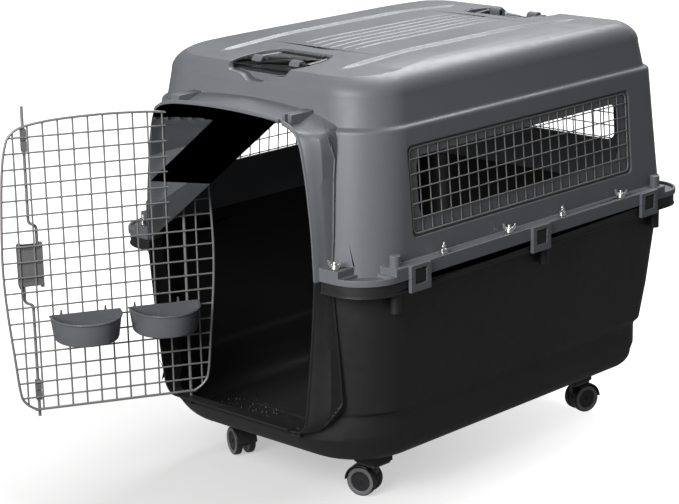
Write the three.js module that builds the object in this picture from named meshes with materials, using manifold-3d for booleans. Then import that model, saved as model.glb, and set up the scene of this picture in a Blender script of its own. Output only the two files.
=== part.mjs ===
// Pet transport carrier: a two-part moulded kennel on swivel casters with a swinging wire door.
// Millimetres. +Z is up, the door faces -Y, +X is the right-hand side seen from the door.
// The origin is the centre of the raised skid panel on the underside of the bottom shell.
import * as THREE from 'three';
import { mergeVertices } from 'three/addons/utils/BufferGeometryUtils.js';
import Module from 'manifold-3d';

const wasm = await Module();
wasm.setup();

// ---- driving dimensions ----
const SEAM_Z = 320; // height of the joint between the two shells
const SKID = 3; // height of the skid panel under the shell
const WALL = 4; // moulded wall thickness
const GAP = 0.3; // free gap between separate pieces
const RIDGE_Z = 228; // ridge round the top shell, above the seam
const ROOF_Z = 314; // flat roof deck, above the seam
const STEP_Z = -224; // step round the bottom shell, below the seam
const BASE_Z = -317; // underside of the bottom shell
const SEAM_HALF_X = 273; // shell at the seam
const SEAM_FRONT = 394;
const SEAM_BACK = 388;
const FLANGE_HALF_X = 293; // bolting flange
const FLANGE_HALF_Y = 415;
const FRONT_CORNER = 70; // corner radii of the flange
const BACK_CORNER = 52;
const UPPER_FLANGE = 22;
const LOWER_FLANGE = 19;
const WALL_SLOPE = 0.069; // inward lean of the top shell's walls

const RIM_Y = -424; // front edge of the doorway collar

const HINGE_X = -126.5; // vertical hinge line of the door
const HINGE_Y = -400;
const DOOR_OPEN = 118.66; // degrees from closed at rest
const WIRE = 2.5;
const DOOR_WIRE_PITCH = 24.2;
const DOOR_ROW_PITCH = 25.35;
const DOOR_COLUMNS = 13;
const DOOR_ROWS = 18;
const DOOR_ROW_START = -227;
const LATCH_S = 253; // distance from hinge rod to latch rod
const LATCH_DEPTH = -4.4; // latch rods stand this far outside the hinge line
const ROD_RADIUS = 2.5;

const WINDOW_Z = 126; // middle of the wire windows, above the seam
const WINDOW_HALF_Z = 67;
const WINDOW_PITCH = 23.1; // along the wall
const WINDOW_PITCH_Z = 23.4;
const WINDOWS = [
  { name: 'right', turn: 0, out: SEAM_HALF_X, pitches: 24 },
  { name: 'left', turn: 180, out: SEAM_HALF_X, pitches: 24 },
  { name: 'rear', turn: 90, out: SEAM_BACK, pitches: 16 },
];

const HANDLE_Y = 297.5; // pivot line of each folding handle
const HANDLE_Z = 300.5;
const LUG_X = 42;
const POCKET_FLOOR = 291;
const ROOF_FALL = 150; // the roof is flat up to here and falls towards each end

const BOLT_X = 285; // bolt lines along the flange
const FRONT_BOLT_Y = -406.5;
const REAR_BOLT_Y = 402;
const SIDE_BOLTS = [-230, -69, 69, 230];
const END_BOLTS = [-219, 219];

const TAB_SPACING = 297;
const CASTER_X = 160;
const CASTER_Y = 266;
const POST_BOTTOM = -342;
const WHEEL_Z = -375;
const WHEEL_RADIUS = 25;
const TRAIL = 16;

// ---- shape helpers ----
function solid(geometry) {
  const bare = new THREE.BufferGeometry();
  bare.setAttribute('position', geometry.getAttribute('position').clone());
  if (geometry.getIndex()) {
    bare.setIndex(geometry.getIndex().clone());
  }
  const welded = mergeVertices(bare, 1e-4);
  const mesh = new wasm.Mesh({
    numProp: 3,
    vertProperties: new Float32Array(welded.getAttribute('position').array),
    triVerts: new Uint32Array(welded.getIndex().array),
  });
  return new wasm.Manifold(mesh);
}

function toGeometry(body) {
  const mesh = body.getMesh();
  const indexed = new THREE.BufferGeometry();
  indexed.setAttribute('position', new THREE.BufferAttribute(mesh.vertProperties, 3));
  indexed.setIndex(new THREE.BufferAttribute(mesh.triVerts, 1));
  const flat = indexed.toNonIndexed();
  flat.computeVertexNormals();
  return flat;
}

function bar(x0, x1, y0, y1, z0, z1) {
  const box = new THREE.BoxGeometry(x1 - x0, y1 - y0, z1 - z0);
  box.translate((x0 + x1) / 2, (y0 + y1) / 2, (z0 + z1) / 2);
  return solid(box);
}

function rodGeometry(radius, from, to, sides) {
  const a = new THREE.Vector3(...from);
  const b = new THREE.Vector3(...to);
  const length = a.distanceTo(b);
  const geometry = new THREE.CylinderGeometry(radius, radius, length, sides);
  const along = b.clone().sub(a).normalize();
  const turn = new THREE.Quaternion().setFromUnitVectors(new THREE.Vector3(0, 1, 0), along);
  geometry.applyQuaternion(turn);
  const middle = a.add(b).multiplyScalar(0.5);
  geometry.translate(middle.x, middle.y, middle.z);
  return geometry;
}

function rod(radius, from, to, sides = 12) {
  return solid(rodGeometry(radius, from, to, sides));
}

// Joins rings of points, all with the same count, into one closed body.
function loft(rings) {
  const count = rings[0].length;
  const points = rings.flat();
  const faces = [];
  for (let r = 0; r < rings.length - 1; r++) {
    for (let i = 0; i < count; i++) {
      const j = (i + 1) % count;
      const a = r * count + i;
      const b = r * count + j;
      const c = (r + 1) * count + i;
      const d = (r + 1) * count + j;
      faces.push(a, b, d, a, d, c);
    }
  }
  const ends = [rings[0], rings[rings.length - 1]];
  ends.forEach((ring, end) => {
    const base = end * (rings.length - 1) * count;
    const middle = points.length;
    const sum = ring.reduce((s, p) => [s[0] + p[0], s[1] + p[1], s[2] + p[2]], [0, 0, 0]);
    points.push(sum.map((v) => v / count));
    for (let i = 0; i < count; i++) {
      const j = (i + 1) % count;
      if (end === 0) {
        faces.push(middle, base + j, base + i);
      } else {
        faces.push(middle, base + i, base + j);
      }
    }
  });
  const geometry = new THREE.BufferGeometry();
  geometry.setAttribute('position', new THREE.Float32BufferAttribute(points.flat(), 3));
  geometry.setIndex(faces);
  return solid(geometry);
}

// A rounded rectangle at one height, anticlockwise from above. The front and back each have
// their own distance from the middle and their own corner radius.
function ring(halfX, front, back, frontRadius, backRadius, z) {
  const points = [];
  const corners = [
    [1, -1, -90, front, frontRadius],
    [1, 1, 0, back, backRadius],
    [-1, 1, 90, back, backRadius],
    [-1, -1, 180, front, frontRadius],
  ];
  const steps = 5;
  for (const [sx, sy, start, reach, radius] of corners) {
    for (let i = 0; i <= steps; i++) {
      const angle = THREE.MathUtils.degToRad(start + (90 * i) / steps);
      const x = sx * (halfX - radius) + radius * Math.cos(angle);
      const y = sy * (reach - radius) + radius * Math.sin(angle);
      points.push([x, y, SEAM_Z + z]);
    }
  }
  return points;
}

// The flange outline as a flat plate, shrunk by inset.
function flangePlate(inset, z0, z1) {
  const outline = (z) => ring(
    FLANGE_HALF_X - inset,
    FLANGE_HALF_Y - inset,
    FLANGE_HALF_Y - inset,
    FRONT_CORNER - inset,
    BACK_CORNER - inset,
    z,
  );
  return loft([outline(z0), outline(z1)]);
}

// A block between two rectangles at two heights; each rectangle is [x0, x1, y0, y1].
function wedge(low, z0, high, z1) {
  const corners = ([x0, x1, y0, y1], z) => [[x0, y0, z], [x1, y0, z], [x1, y1, z], [x0, y1, z]];
  return loft([corners(low, z0), corners(high, z1)]);
}

// Extrudes an outline of [across, up] points; the result stands in the XZ plane along Y.
function slab(outline, y0, y1) {
  const shape = new THREE.Shape(outline.map(([x, z]) => new THREE.Vector2(x, z)));
  const geometry = new THREE.ExtrudeGeometry(shape, { depth: y1 - y0, bevelEnabled: false });
  geometry.rotateX(Math.PI / 2);
  geometry.translate(0, y1, 0);
  return solid(geometry);
}

function union(bodies) {
  return bodies.reduce((all, body) => all.add(body));
}

function cut(body, tools) {
  return tools.reduce((left, tool) => left.subtract(tool), body);
}

// ---- shell sections: [half width, front, back, front radius, back radius, height, lift] ----
// lift says how far the inside follows the wall thickness upwards at that section
function shrunkRing([halfX, front, back, frontRadius, backRadius, z, lift], inset) {
  const rounding = inset / 2;
  return ring(
    halfX - inset,
    front - inset,
    back - inset,
    frontRadius - rounding,
    backRadius - rounding,
    z + lift * inset,
  );
}

function upperRings(inset) {
  const sections = [
    [SEAM_HALF_X, SEAM_FRONT, SEAM_BACK, 88, 44, 0, -5],
    [SEAM_HALF_X - WALL_SLOPE * 225, 372, SEAM_BACK - WALL_SLOPE * 225, 94, 42, RIDGE_Z - 3, -1],
    [250, 361, 365, 88, 42, RIDGE_Z + 3, -1],
    [244, 355, 357, 86, 42, 278, -1],
    [237, 346, 348, 86, 44, 296, -1],
    [225, 334, 334, 86, 48, 307, -1],
    [207, 318, 316, 86, 52, 312, -1],
    [186, 300, 298, 86, 56, ROOF_Z, -1],
  ];
  return sections.map((section) => shrunkRing(section, inset));
}

// Below the step the front stands forward of the wall as a rounded skirt.
function lowerRings(inset) {
  const sections = [
    [206, 350, 323, 74, 30, BASE_Z, 1],
    [222, 366, 339, 82, 40, BASE_Z + 4, 1],
    [234, 382, 351, 90, 46, BASE_Z + 14, 1],
    [240, 396, 358, 96, 50, BASE_Z + 32, 1],
    [242, 402, 359, 96, 48, BASE_Z + 50, 0],
    [242, 401, 360, 92, 46, STEP_Z - 20, 0],
    [243, 394, 360, 92, 46, STEP_Z - 7, 0],
    [250, 379, 367, 88, 46, STEP_Z, 0],
    [SEAM_HALF_X, SEAM_FRONT, SEAM_BACK, 88, 44, 0, 5],
  ];
  return sections.map((section) => shrunkRing(section, inset));
}

// The top shell's outer body; inset gives the room inside it.
function upperBody(inset) {
  const falls = [-1, 1].map((end) => {
    const flat = end * ROOF_FALL;
    const far = end * 450;
    const high = [ROOF_Z - inset, ROOF_Z - 16 - inset, ROOF_Z + 40];
    const profile = [[flat, high[0]], [far, high[1]], [far, high[2]], [flat, high[2]]];
    const shape = new THREE.Shape(profile.map(([y, z]) => new THREE.Vector2(y, SEAM_Z + z)));
    const geometry = new THREE.ExtrudeGeometry(shape, { depth: 600, bevelEnabled: false });
    geometry.rotateX(Math.PI / 2);
    geometry.rotateZ(Math.PI / 2);
    geometry.translate(-300, 0, 0);
    return solid(geometry);
  });
  return cut(loft(upperRings(inset)), falls);
}

// ---- doorway: outlines are given as the right half, from the crown down ----
function bothHalves(right) {
  const left = right.slice(1).map(([x, z]) => [-x, z]).reverse();
  return [...right, ...left].reverse();
}

function openingOutline() {
  return bothHalves([
    [0, 245], [62, 243.5], [112, 240], [142, 234], [157, 224], [165, 206],
    [175, 160], [184, 84], [188, 6], [188, -6], [183, -50], [174, -140],
    [164, -226], [158, -243], [142, -252.5],
  ]);
}

// The same outline on the inner side of the front wall.
function innerOutline() {
  return bothHalves([
    [0, 246.5], [62, 245], [112, 241.5], [143, 236], [160, 227], [172, 209],
    [184, 162], [193, 84], [197, 6], [197, -6], [192, -50], [183, -140],
    [172, -229], [163, -246], [145, -256],
  ]);
}

function collarOutline() {
  return bothHalves([
    [0, 257], [60, 256], [118, 252], [152, 249], [182, 239], [199, 222],
    [204, 160], [204, 84], [204, 6], [204, -6], [204, -50], [204, -140],
    [204, -208], [184, -240], [146, -262],
  ]);
}

// Where the collar starts to narrow towards its rim, at a height from the seam.
function collarSeatY(z) {
  if (z > 230) {
    return -395;
  }
  if (z < -215) {
    return -398;
  }
  return -SEAM_FRONT + Math.abs(z) * (z > 0 ? 0.093 : 0.067);
}

function grown(outline, amount) {
  const count = outline.length;
  return outline.map(([x, z], i) => {
    const [px, pz] = outline[(i + count - 1) % count];
    const [nx, nz] = outline[(i + 1) % count];
    const length = Math.hypot(nx - px, nz - pz);
    return [x + (amount * (nz - pz)) / length, z - (amount * (nx - px)) / length];
  });
}

function frontRing(outline, y) {
  return outline.map(([x, z]) => [x, y, SEAM_Z + z]);
}

function collarBody() {
  const outer = collarOutline();
  const shoulder = outer.map(([x, z]) => [x, z > 230 ? z - 3 - Math.abs(x) * 0.03 : z]);
  const rim = grown(openingOutline(), 3.5).map(([x, z]) => [x, z > 232 ? z + 4 : z]);
  const between = (share, channel) => rim.map(([x, z], i) => {
    const [outerX, outerZ] = shoulder[i];
    const sunk = z > 232 ? channel : 0;
    return [x + share * (outerX - x), z + share * (outerZ - z) - sunk];
  });
  const seat = shoulder.map(([x, z]) => [x, collarSeatY(z), SEAM_Z + z]);
  return loft([
    frontRing(outer, -352),
    seat,
    frontRing(between(0.78, 4), -401),
    frontRing(between(0.3, 4), RIM_Y + 9),
    frontRing(rim, RIM_Y),
  ]);
}

function doorwayTool() {
  const opening = openingOutline();
  return loft([
    frontRing(innerOutline(), -330),
    frontRing(innerOutline(), -396),
    frontRing(opening, RIM_Y + 3),
    frontRing(opening, RIM_Y - 3),
  ]);
}

// Blocks that carry the hinge and latch rods, above and below the doorway.
function rodBlocks() {
  const blocks = [];
  for (const side of [-1, 1]) {
    const x = side * 126.5;
    blocks.push(bar(x - 10, x + 10, -409, -350, SEAM_Z + 234, SEAM_Z + 252));
    blocks.push(bar(x - 10, x + 10, -410, -380, SEAM_Z - 269, SEAM_Z - 255));
  }
  return union(blocks);
}

function rodHoles() {
  const x = -HINGE_X;
  const latchY = HINGE_Y + LATCH_DEPTH;
  return [
    rod(3, [HINGE_X, HINGE_Y, SEAM_Z - 265], [HINGE_X, HINGE_Y, SEAM_Z + 246], 12),
    bar(x - 4.2, x + 2.9, RIM_Y - 4, latchY + 3, SEAM_Z + 225, SEAM_Z + 254),
    bar(x - 4.2, x + 2.9, RIM_Y - 4, latchY + 3, SEAM_Z - 265, SEAM_Z - 245),
  ];
}

// ---- bolts ----
function boltPlaces() {
  const places = [];
  SIDE_BOLTS.forEach((y, i) => {
    places.push({ name: `right_${i + 1}`, x: BOLT_X, y, turn: i % 2 ? -46 : 38 });
    places.push({ name: `left_${i + 1}`, x: -BOLT_X, y, turn: i % 2 ? -30 : 12 });
  });
  END_BOLTS.forEach((x, i) => {
    places.push({ name: `front_${i + 1}`, x, y: FRONT_BOLT_Y, turn: i ? -50 : 50 });
    places.push({ name: `rear_${i + 1}`, x, y: REAR_BOLT_Y, turn: 90 });
  });
  return places;
}

function boltHoles() {
  return boltPlaces().flatMap(({ x, y }) => [
    rod(3.4, [x, y, SEAM_Z - 40], [x, y, SEAM_Z + 40], 10),
    rod(4.5, [x, y, SEAM_Z - 40], [x, y, SEAM_Z - 14], 10),
  ]);
}

// ---- windows: built facing +X about the wall's middle, then stood on their wall ----
function windowMatrix({ turn, out }) {
  const lean = new THREE.Matrix4().makeRotationY(-Math.atan(WALL_SLOPE));
  const wall = new THREE.Matrix4().makeTranslation(out - WALL_SLOPE * WINDOW_Z, 0, SEAM_Z + WINDOW_Z);
  const round = new THREE.Matrix4().makeRotationZ(THREE.MathUtils.degToRad(turn));
  return round.multiply(wall).multiply(lean);
}

function windowHalf({ pitches }) {
  return (pitches * WINDOW_PITCH) / 2;
}

function windowBox(window, x0, x1, margin) {
  const height = 2 * (WINDOW_HALF_Z + margin);
  const box = new THREE.BoxGeometry(x1 - x0, 2 * (windowHalf(window) + margin), height);
  box.translate((x0 + x1) / 2, 0, 0);
  box.applyMatrix4(windowMatrix(window));
  return solid(box);
}

function windowBacking(window) {
  return windowBox(window, -10, -2, 9);
}

function windowRecess(window) {
  return windowBox(window, -6, 8, 4);
}

function windowOpening(window) {
  const shape = new THREE.Shape();
  const halfY = windowHalf(window) - 19.5;
  const low = -44;
  const high = 52;
  const r = 18;
  shape.absarc(halfY - r, high - r, r, 0, Math.PI / 2);
  shape.absarc(r - halfY, high - r, r, Math.PI / 2, Math.PI);
  shape.absarc(r - halfY, low + r, r, Math.PI, 1.5 * Math.PI);
  shape.absarc(halfY - r, low + r, r, 1.5 * Math.PI, 2 * Math.PI);
  const geometry = new THREE.ExtrudeGeometry(shape, { depth: 40, bevelEnabled: false, curveSegments: 3 });
  geometry.rotateZ(Math.PI / 2);
  geometry.rotateY(Math.PI / 2);
  geometry.translate(-25, 0, 0);
  geometry.applyMatrix4(windowMatrix(window));
  return solid(geometry);
}

// The wire panel in its own frame: X out of the wall, Y along it and Z up it, origin at its middle.
function windowMesh(window) {
  const thick = 2.25;
  const edge = 3;
  const back = -5.75;
  const middle = back + thick;
  const front = middle + thick;
  const half = windowHalf(window);
  const bars = [];
  for (const s of [-1, 1]) {
    const y = s * half;
    const z = s * WINDOW_HALF_Z;
    const z0 = -WINDOW_HALF_Z - edge / 2;
    const z1 = WINDOW_HALF_Z + edge / 2;
    bars.push(bar(back, front, y - edge / 2, y + edge / 2, z0, z1));
    bars.push(bar(back, front, -half, half, z - edge / 2, z + edge / 2));
  }
  for (let k = 1; k < window.pitches; k++) {
    const y = k * WINDOW_PITCH - half;
    bars.push(bar(back, middle, y - thick / 2, y + thick / 2, -WINDOW_HALF_Z, WINDOW_HALF_Z));
  }
  for (let k = 1; k <= 5; k++) {
    const z = -WINDOW_HALF_Z + k * WINDOW_PITCH_Z;
    bars.push(bar(middle, front, -half, half, z - thick / 2, z + thick / 2));
  }
  return union(bars);
}

// ---- roof: pockets for the folding handles, lugs and grooves ----
function pocketBody(grow, z0, z1, end) {
  const outline = [[56, 229], [73, 262], [73, 312], [67, 334], [-67, 334], [-73, 312], [-73, 262], [-56, 229]];
  const points = outline.map(([x, y]) => {
    const outward = y > 300 ? grow : -grow;
    return new THREE.Vector2(x + Math.sign(x) * grow, (y + outward) * end);
  });
  const geometry = new THREE.ExtrudeGeometry(new THREE.Shape(points), { depth: z1 - z0, bevelEnabled: false });
  geometry.translate(0, 0, SEAM_Z + z0);
  return solid(geometry);
}

// Scooped mouth that opens the pocket through the roof's end, with a thumb dip in its middle.
function pocketMouth(grow, end) {
  const dip = [
    [-66, 300], [-61, 292], [-46, POCKET_FLOOR], [-30, 288], [-18, 281], [0, 279],
    [18, 281], [30, 288], [46, POCKET_FLOOR], [61, 292], [66, 300],
  ];
  const outline = dip.map(([x, z]) => [x + Math.sign(x) * grow, SEAM_Z + z - grow]);
  outline.push([66 + grow, SEAM_Z + 340], [-66 - grow, SEAM_Z + 340]);
  return end < 0 ? slab(outline, -400, -333) : slab(outline, 333, 400);
}

function handleLug(side, end) {
  const x = side * LUG_X;
  const y = end * HANDLE_Y;
  const z = SEAM_Z + HANDLE_Z;
  const foot = bar(x - 10.5, x + 10.5, y - 9.5, y + 9.5, SEAM_Z + POCKET_FLOOR - 1, z);
  return foot.add(rod(9.5, [x - 10.5, y, z], [x + 10.5, y, z], 16));
}

function roofGrooves() {
  const tools = [];
  for (const side of [-1, 1]) {
    tools.push(bar(side * 136 - 5, side * 136 + 5, -150, 150, SEAM_Z + 311.6, SEAM_Z + 330));
  }
  for (let k = 0; k < 6; k++) {
    const x = (k - 2.5) * 24;
    tools.push(bar(x - 2.5, x + 2.5, -170, 170, SEAM_Z + 312.6, SEAM_Z + 330));
  }
  return tools;
}

// ---- flange details ----
function upperFlange() {
  const full = flangePlate(0, 0.15, UPPER_FLANGE);
  const notches = [];
  for (const sx of [-1, 1]) {
    for (const sy of [-1, 1]) {
      const x = [sx * 230, sx * 320].sort((a, b) => a - b);
      const y = [sy * 346, sy * 440].sort((a, b) => a - b);
      notches.push(bar(x[0], x[1], y[0], y[1], SEAM_Z + 10, SEAM_Z + 40));
    }
  }
  return cut(full, notches);
}

function snapTabs() {
  const tabs = [];
  for (const side of [-1, 1]) {
    for (const k of [-1, 0, 1]) {
      const x = [side * 291.5, side * 298].sort((a, b) => a - b);
      const y = k * TAB_SPACING;
      const frame = bar(x[0], x[1], y - 23.5, y + 23.5, SEAM_Z - 21, SEAM_Z + UPPER_FLANGE);
      tabs.push(cut(frame, [bar(x[0] - 1, x[1] + 1, y - 13, y + 13, SEAM_Z - 9, SEAM_Z + 14)]));
    }
  }
  return union(tabs);
}

// Catches that stand up outside the upper flange and fill the snap tabs' slots.
function snapCatches() {
  const catches = [];
  for (const side of [-1, 1]) {
    for (const k of [-1, 0, 1]) {
      const root = [side * 288, side * 296.3].sort((a, b) => a - b);
      const hook = [side * 293.3, side * 296.3].sort((a, b) => a - b);
      const y = k * TAB_SPACING;
      catches.push(bar(root[0], root[1], y - 12.5, y + 12.5, SEAM_Z - 8.6, SEAM_Z - 0.5));
      catches.push(bar(hook[0], hook[1], y - 12.5, y + 12.5, SEAM_Z - 8.6, SEAM_Z + 13.5));
    }
  }
  return union(catches);
}

function flangeBosses(z0, z1, places) {
  const bosses = [];
  for (const side of [-1, 1]) {
    for (const y of places) {
      const x = [side * 256, side * 288].sort((a, b) => a - b);
      bosses.push(bar(x[0], x[1], y - 9, y + 9, SEAM_Z + z0, SEAM_Z + z1));
    }
  }
  return union(bosses);
}

// ---- the two shells ----
function topShell() {
  const below = bar(-400, 400, -500, 500, SEAM_Z - 400, SEAM_Z + 0.15);
  const outside = upperBody(0);
  const added = [upperFlange(), collarBody(), rodBlocks(), flangeBosses(5, 40, [-336, 336])];
  const hollow = cut(union([outside, ...added]), [upperBody(WALL), doorwayTool(), below]);
  const linings = WINDOWS.map(windowBacking);
  const tools = [...WINDOWS.map(windowRecess), ...WINDOWS.map(windowOpening)];
  for (const end of [-1, 1]) {
    linings.push(pocketBody(WALL, POCKET_FLOOR - WALL, 340, end));
    linings.push(pocketMouth(WALL, end));
    tools.push(pocketBody(0, POCKET_FLOOR, 340, end));
    tools.push(pocketMouth(0, end));
  }
  const lined = union([hollow, ...linings.map((lining) => lining.intersect(outside))]);
  const opened = cut(lined, [...tools, ...rodHoles(), ...boltHoles(), ...roofGrooves()]);
  const lugs = [];
  for (const end of [-1, 1]) {
    for (const side of [-1, 1]) {
      lugs.push(handleLug(side, end));
    }
  }
  const pivots = [-1, 1].map((end) =>
    rod(4.4, [-70, end * HANDLE_Y, SEAM_Z + HANDLE_Z], [70, end * HANDLE_Y, SEAM_Z + HANDLE_Z], 12));
  const keepPocket = cut(union(lugs), pivots);
  return union([opened, keepPocket, snapTabs()]);
}

function casterPosts() {
  const posts = [];
  for (const sx of [-1, 1]) {
    for (const sy of [-1, 1]) {
      const x = sx * CASTER_X;
      const y = sy * CASTER_Y;
      posts.push(bar(x - 22.5, x + 22.5, y - 22.5, y + 22.5, SEAM_Z + POST_BOTTOM, SEAM_Z + BASE_Z + 2));
    }
  }
  return union(posts);
}

function bottomShell() {
  const above = bar(-400, 400, -500, 500, SEAM_Z - 0.15, SEAM_Z + 400);
  const flange = flangePlate(3, -LOWER_FLANGE, -0.15);
  const skid = bar(-110, 110, -200, 200, 0, SKID + 1);
  const sockets = CASTERS.map(({ x, y }) => rod(3.8, [x, y, -40], [x, y, SEAM_Z + POST_BOTTOM + 16], 12));
  const body = union([
    loft(lowerRings(0)),
    flange,
    collarBody(),
    rodBlocks(),
    flangeBosses(-52, -5, [-336, 28, 336]),
    skid,
    casterPosts(),
  ]);
  const held = cut(body, [loft(lowerRings(WALL)), doorwayTool(), above]);
  const hollow = cut(held.add(snapCatches()), [...rodHoles(), ...boltHoles(), ...sockets]);
  const floor = bar(-150, 150, -250, 250, SEAM_Z + BASE_Z + WALL - 1, SEAM_Z + BASE_Z + WALL + 1.5);
  return hollow.add(floor);
}

// ---- door, built closed; s runs from the hinge rod towards the latch ----
function doorOutline() {
  return bothHalves([
    [0, 231], [60, 229.5], [100, 226], [131, 220], [148, 210], [157, 194],
    [165, 150], [171, 60], [173, -10], [170, -78], [163, -154], [157, -215],
    [150, -234], [132, -247],
  ]);
}

function doorFrame() {
  const outline = doorOutline();
  const outer = slab(grown(outline, 2.1).map(([x, z]) => [x, SEAM_Z + z]), HINGE_Y + 3, HINGE_Y + 7);
  const inner = slab(grown(outline, -2.1).map(([x, z]) => [x, SEAM_Z + z]), HINGE_Y, HINGE_Y + 10);
  return outer.subtract(inner);
}

function doorGrid() {
  const outline = doorOutline();
  const bars = [];
  for (let k = 0; k < DOOR_COLUMNS; k++) {
    const s = -19.4 + k * DOOR_WIRE_PITCH;
    const x = HINGE_X + s;
    if (k !== 1) {
      bars.push(bar(x - WIRE / 2, x + WIRE / 2, HINGE_Y + 0.5, HINGE_Y + 0.5 + WIRE, SEAM_Z - 300, SEAM_Z + 300));
    }
  }
  for (let k = 0; k < DOOR_ROWS; k++) {
    const z = SEAM_Z + DOOR_ROW_START + k * DOOR_ROW_PITCH;
    bars.push(bar(-400, 200, HINGE_Y + 0.5 + WIRE, HINGE_Y + 0.5 + 2 * WIRE, z - WIRE / 2, z + WIRE / 2));
  }
  const filled = slab(outline.map(([x, z]) => [x, SEAM_Z + z]), HINGE_Y - 1, HINGE_Y + 8);
  return union(bars).intersect(filled).add(doorFrame());
}

function hingeRod() {
  return rod(ROD_RADIUS, [HINGE_X, HINGE_Y, SEAM_Z - 263], [HINGE_X, HINGE_Y, SEAM_Z + 245], 12);
}

// Bent rod through a list of points, square-cornered like a formed wire.
function bentRod(points, radius) {
  const pieces = [];
  for (let i = 0; i < points.length - 1; i++) {
    pieces.push(rod(radius, points[i], points[i + 1], 8));
  }
  for (const point of points.slice(1, -1)) {
    const knuckle = new THREE.SphereGeometry(radius, 8, 4);
    knuckle.rotateX(Math.PI / 2);
    knuckle.translate(...point);
    pieces.push(solid(knuckle));
  }
  return union(pieces);
}

function latchRod(upper) {
  const y = HINGE_Y + LATCH_DEPTH;
  const x = HINGE_X + LATCH_S;
  if (upper) {
    const inner = HINGE_X + 241;
    const points = [[x, y, SEAM_Z + 252], [x, y, SEAM_Z + 63], [inner, y, SEAM_Z + 55], [inner, y, SEAM_Z + 15]];
    return bentRod(points, ROD_RADIUS);
  }
  const outer = HINGE_X + 266;
  const points = [[x, y, SEAM_Z - 262], [x, y, SEAM_Z - 74], [outer, y, SEAM_Z - 66], [outer, y, SEAM_Z - 29]];
  return bentRod(points, ROD_RADIUS);
}

function latchGrip(upper) {
  const x = HINGE_X;
  const y = HINGE_Y;
  const z = SEAM_Z + (upper ? 11 : -39);
  const block = bar(x + 237.8, x + 268.2 + (upper ? 0 : 1), y - 11.3, y - 1.7, z, z + 14);
  const tabZ = upper ? z + 4 : z;
  const tab = bar(x + 243.5, x + 262.5, y - 20, y - 11, tabZ, tabZ + 10);
  const rodX = x + (upper ? 241 : 266);
  const end = upper ? 30 : -60;
  const inside = upper ? 14.5 : -28.5;
  const axis = y + LATCH_DEPTH;
  const socket = rod(ROD_RADIUS + GAP, [rodX, axis, SEAM_Z + inside], [rodX, axis, SEAM_Z + end], 10);
  return block.add(tab).subtract(socket);
}

function latchHousing() {
  const x = HINGE_X;
  const y = HINGE_Y;
  const bottom = SEAM_Z - 41;
  const top = SEAM_Z + 27;
  const block = bar(x + 233, x + 274, y - 14, y + 0.3, bottom, top);
  const channel = bar(x + 237.4, x + 269.6, y - 11.7, y - 1.3, bottom - 1, top + 1);
  const slot = bar(x + 242.5, x + 263.5, y - 16, y - 11, bottom - 1, top + 1);
  return cut(block, [channel, slot]);
}

// Coil spring between the two grips.
function latchSpring() {
  const x = HINGE_X + 253;
  const y = HINGE_Y - 6.5;
  const z0 = SEAM_Z - 24.6;
  const height = 35.2;
  const coils = 4;
  const points = [];
  for (let i = 0; i <= coils * 8; i++) {
    const angle = (i / 8) * 2 * Math.PI;
    const rise = 0.8 + (i / (coils * 8)) * (height - 1.6);
    points.push(new THREE.Vector3(x + 3.4 * Math.cos(angle), y + 3.4 * Math.sin(angle), z0 + rise));
  }
  const path = new THREE.CatmullRomCurve3(points);
  const round = new THREE.Shape();
  round.absarc(0, 0, 0.45, 0, 2 * Math.PI);
  const options = { steps: coils * 8, extrudePath: path, curveSegments: 2, bevelEnabled: false };
  return solid(new THREE.ExtrudeGeometry(round, options));
}

function rodGuide(upper) {
  const x = HINGE_X;
  const y = HINGE_Y;
  const z0 = SEAM_Z + (upper ? 180 : -233);
  const z1 = SEAM_Z + (upper ? 216 : -200);
  const sleeve = bar(x + 248.5, x + 257.5, y - 8.9, y + 2.5, z0, z1);
  const axis = y + LATCH_DEPTH;
  return sleeve.subtract(rod(ROD_RADIUS + GAP, [x + LATCH_S, axis, z0 - 1], [x + LATCH_S, axis, z1 + 1], 12));
}

// D-shaped bowl hung on the inside of the door; centre and hooks are distances from the hinge rod.
function bowl(centre, hookPlaces) {
  const topZ = SEAM_Z - 91;
  const back = HINGE_Y + 5.8;
  const section = (halfWidth, depth, z, inset) => {
    const points = [];
    for (let i = 0; i <= 12; i++) {
      const angle = Math.PI * (i / 12);
      const x = Math.cos(angle) * (halfWidth - inset);
      const y = Math.sin(angle) ** 0.8 * (depth - 2 * inset);
      points.push([HINGE_X + centre + x, back + inset + y, z]);
    }
    return points;
  };
  const outside = loft([section(52, 68, topZ - 41, 0), section(55, 72, topZ - 37, 0), section(58, 78, topZ, 0)]);
  const inside = loft([section(55, 72, topZ - 38.5, 2.2), section(58, 78, topZ + 2, 2.2)]);
  const hooks = [];
  for (const s of hookPlaces) {
    const x = HINGE_X + s;
    hooks.push(bar(x - 3, x + 3, HINGE_Y + 0.4, back + 2, topZ - 7.5, topZ - 3));
    hooks.push(bar(x - 3, x + 3, HINGE_Y + 0.4, HINGE_Y + 2.5, topZ - 17, topZ - 3));
    hooks.push(bar(x - 2, x + 2, HINGE_Y + 5.8, HINGE_Y + 7.6, topZ - 3, topZ + 8));
  }
  return union([outside.subtract(inside), ...hooks]);
}

// ---- folding handle ----
function handle(end) {
  const z = SEAM_Z + HANDLE_Z;
  const gripY = end * 238;
  const pivotY = end * HANDLE_Y;
  const pieces = [rod(7.5, [-53, gripY, z], [53, gripY, z], 10)];
  for (const side of [-1, 1]) {
    pieces.push(rod(5, [side * 52, gripY, z], [side * 61, pivotY, z], 8));
    pieces.push(rod(5.4, [side * 54, pivotY, z], [side * 67, pivotY, z], 8));
    pieces.push(rod(4, [side * 34, pivotY, z], [side * 60, pivotY, z], 10));
  }
  return union(pieces);
}

// ---- fasteners ----
function bolt({ x, y }) {
  const head = rod(4.2, [x, y, SEAM_Z - 18.5], [x, y, SEAM_Z - 14.3], 6);
  return head.add(rod(3, [x, y, SEAM_Z - 16], [x, y, SEAM_Z + UPPER_FLANGE + 14], 6));
}

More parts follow.
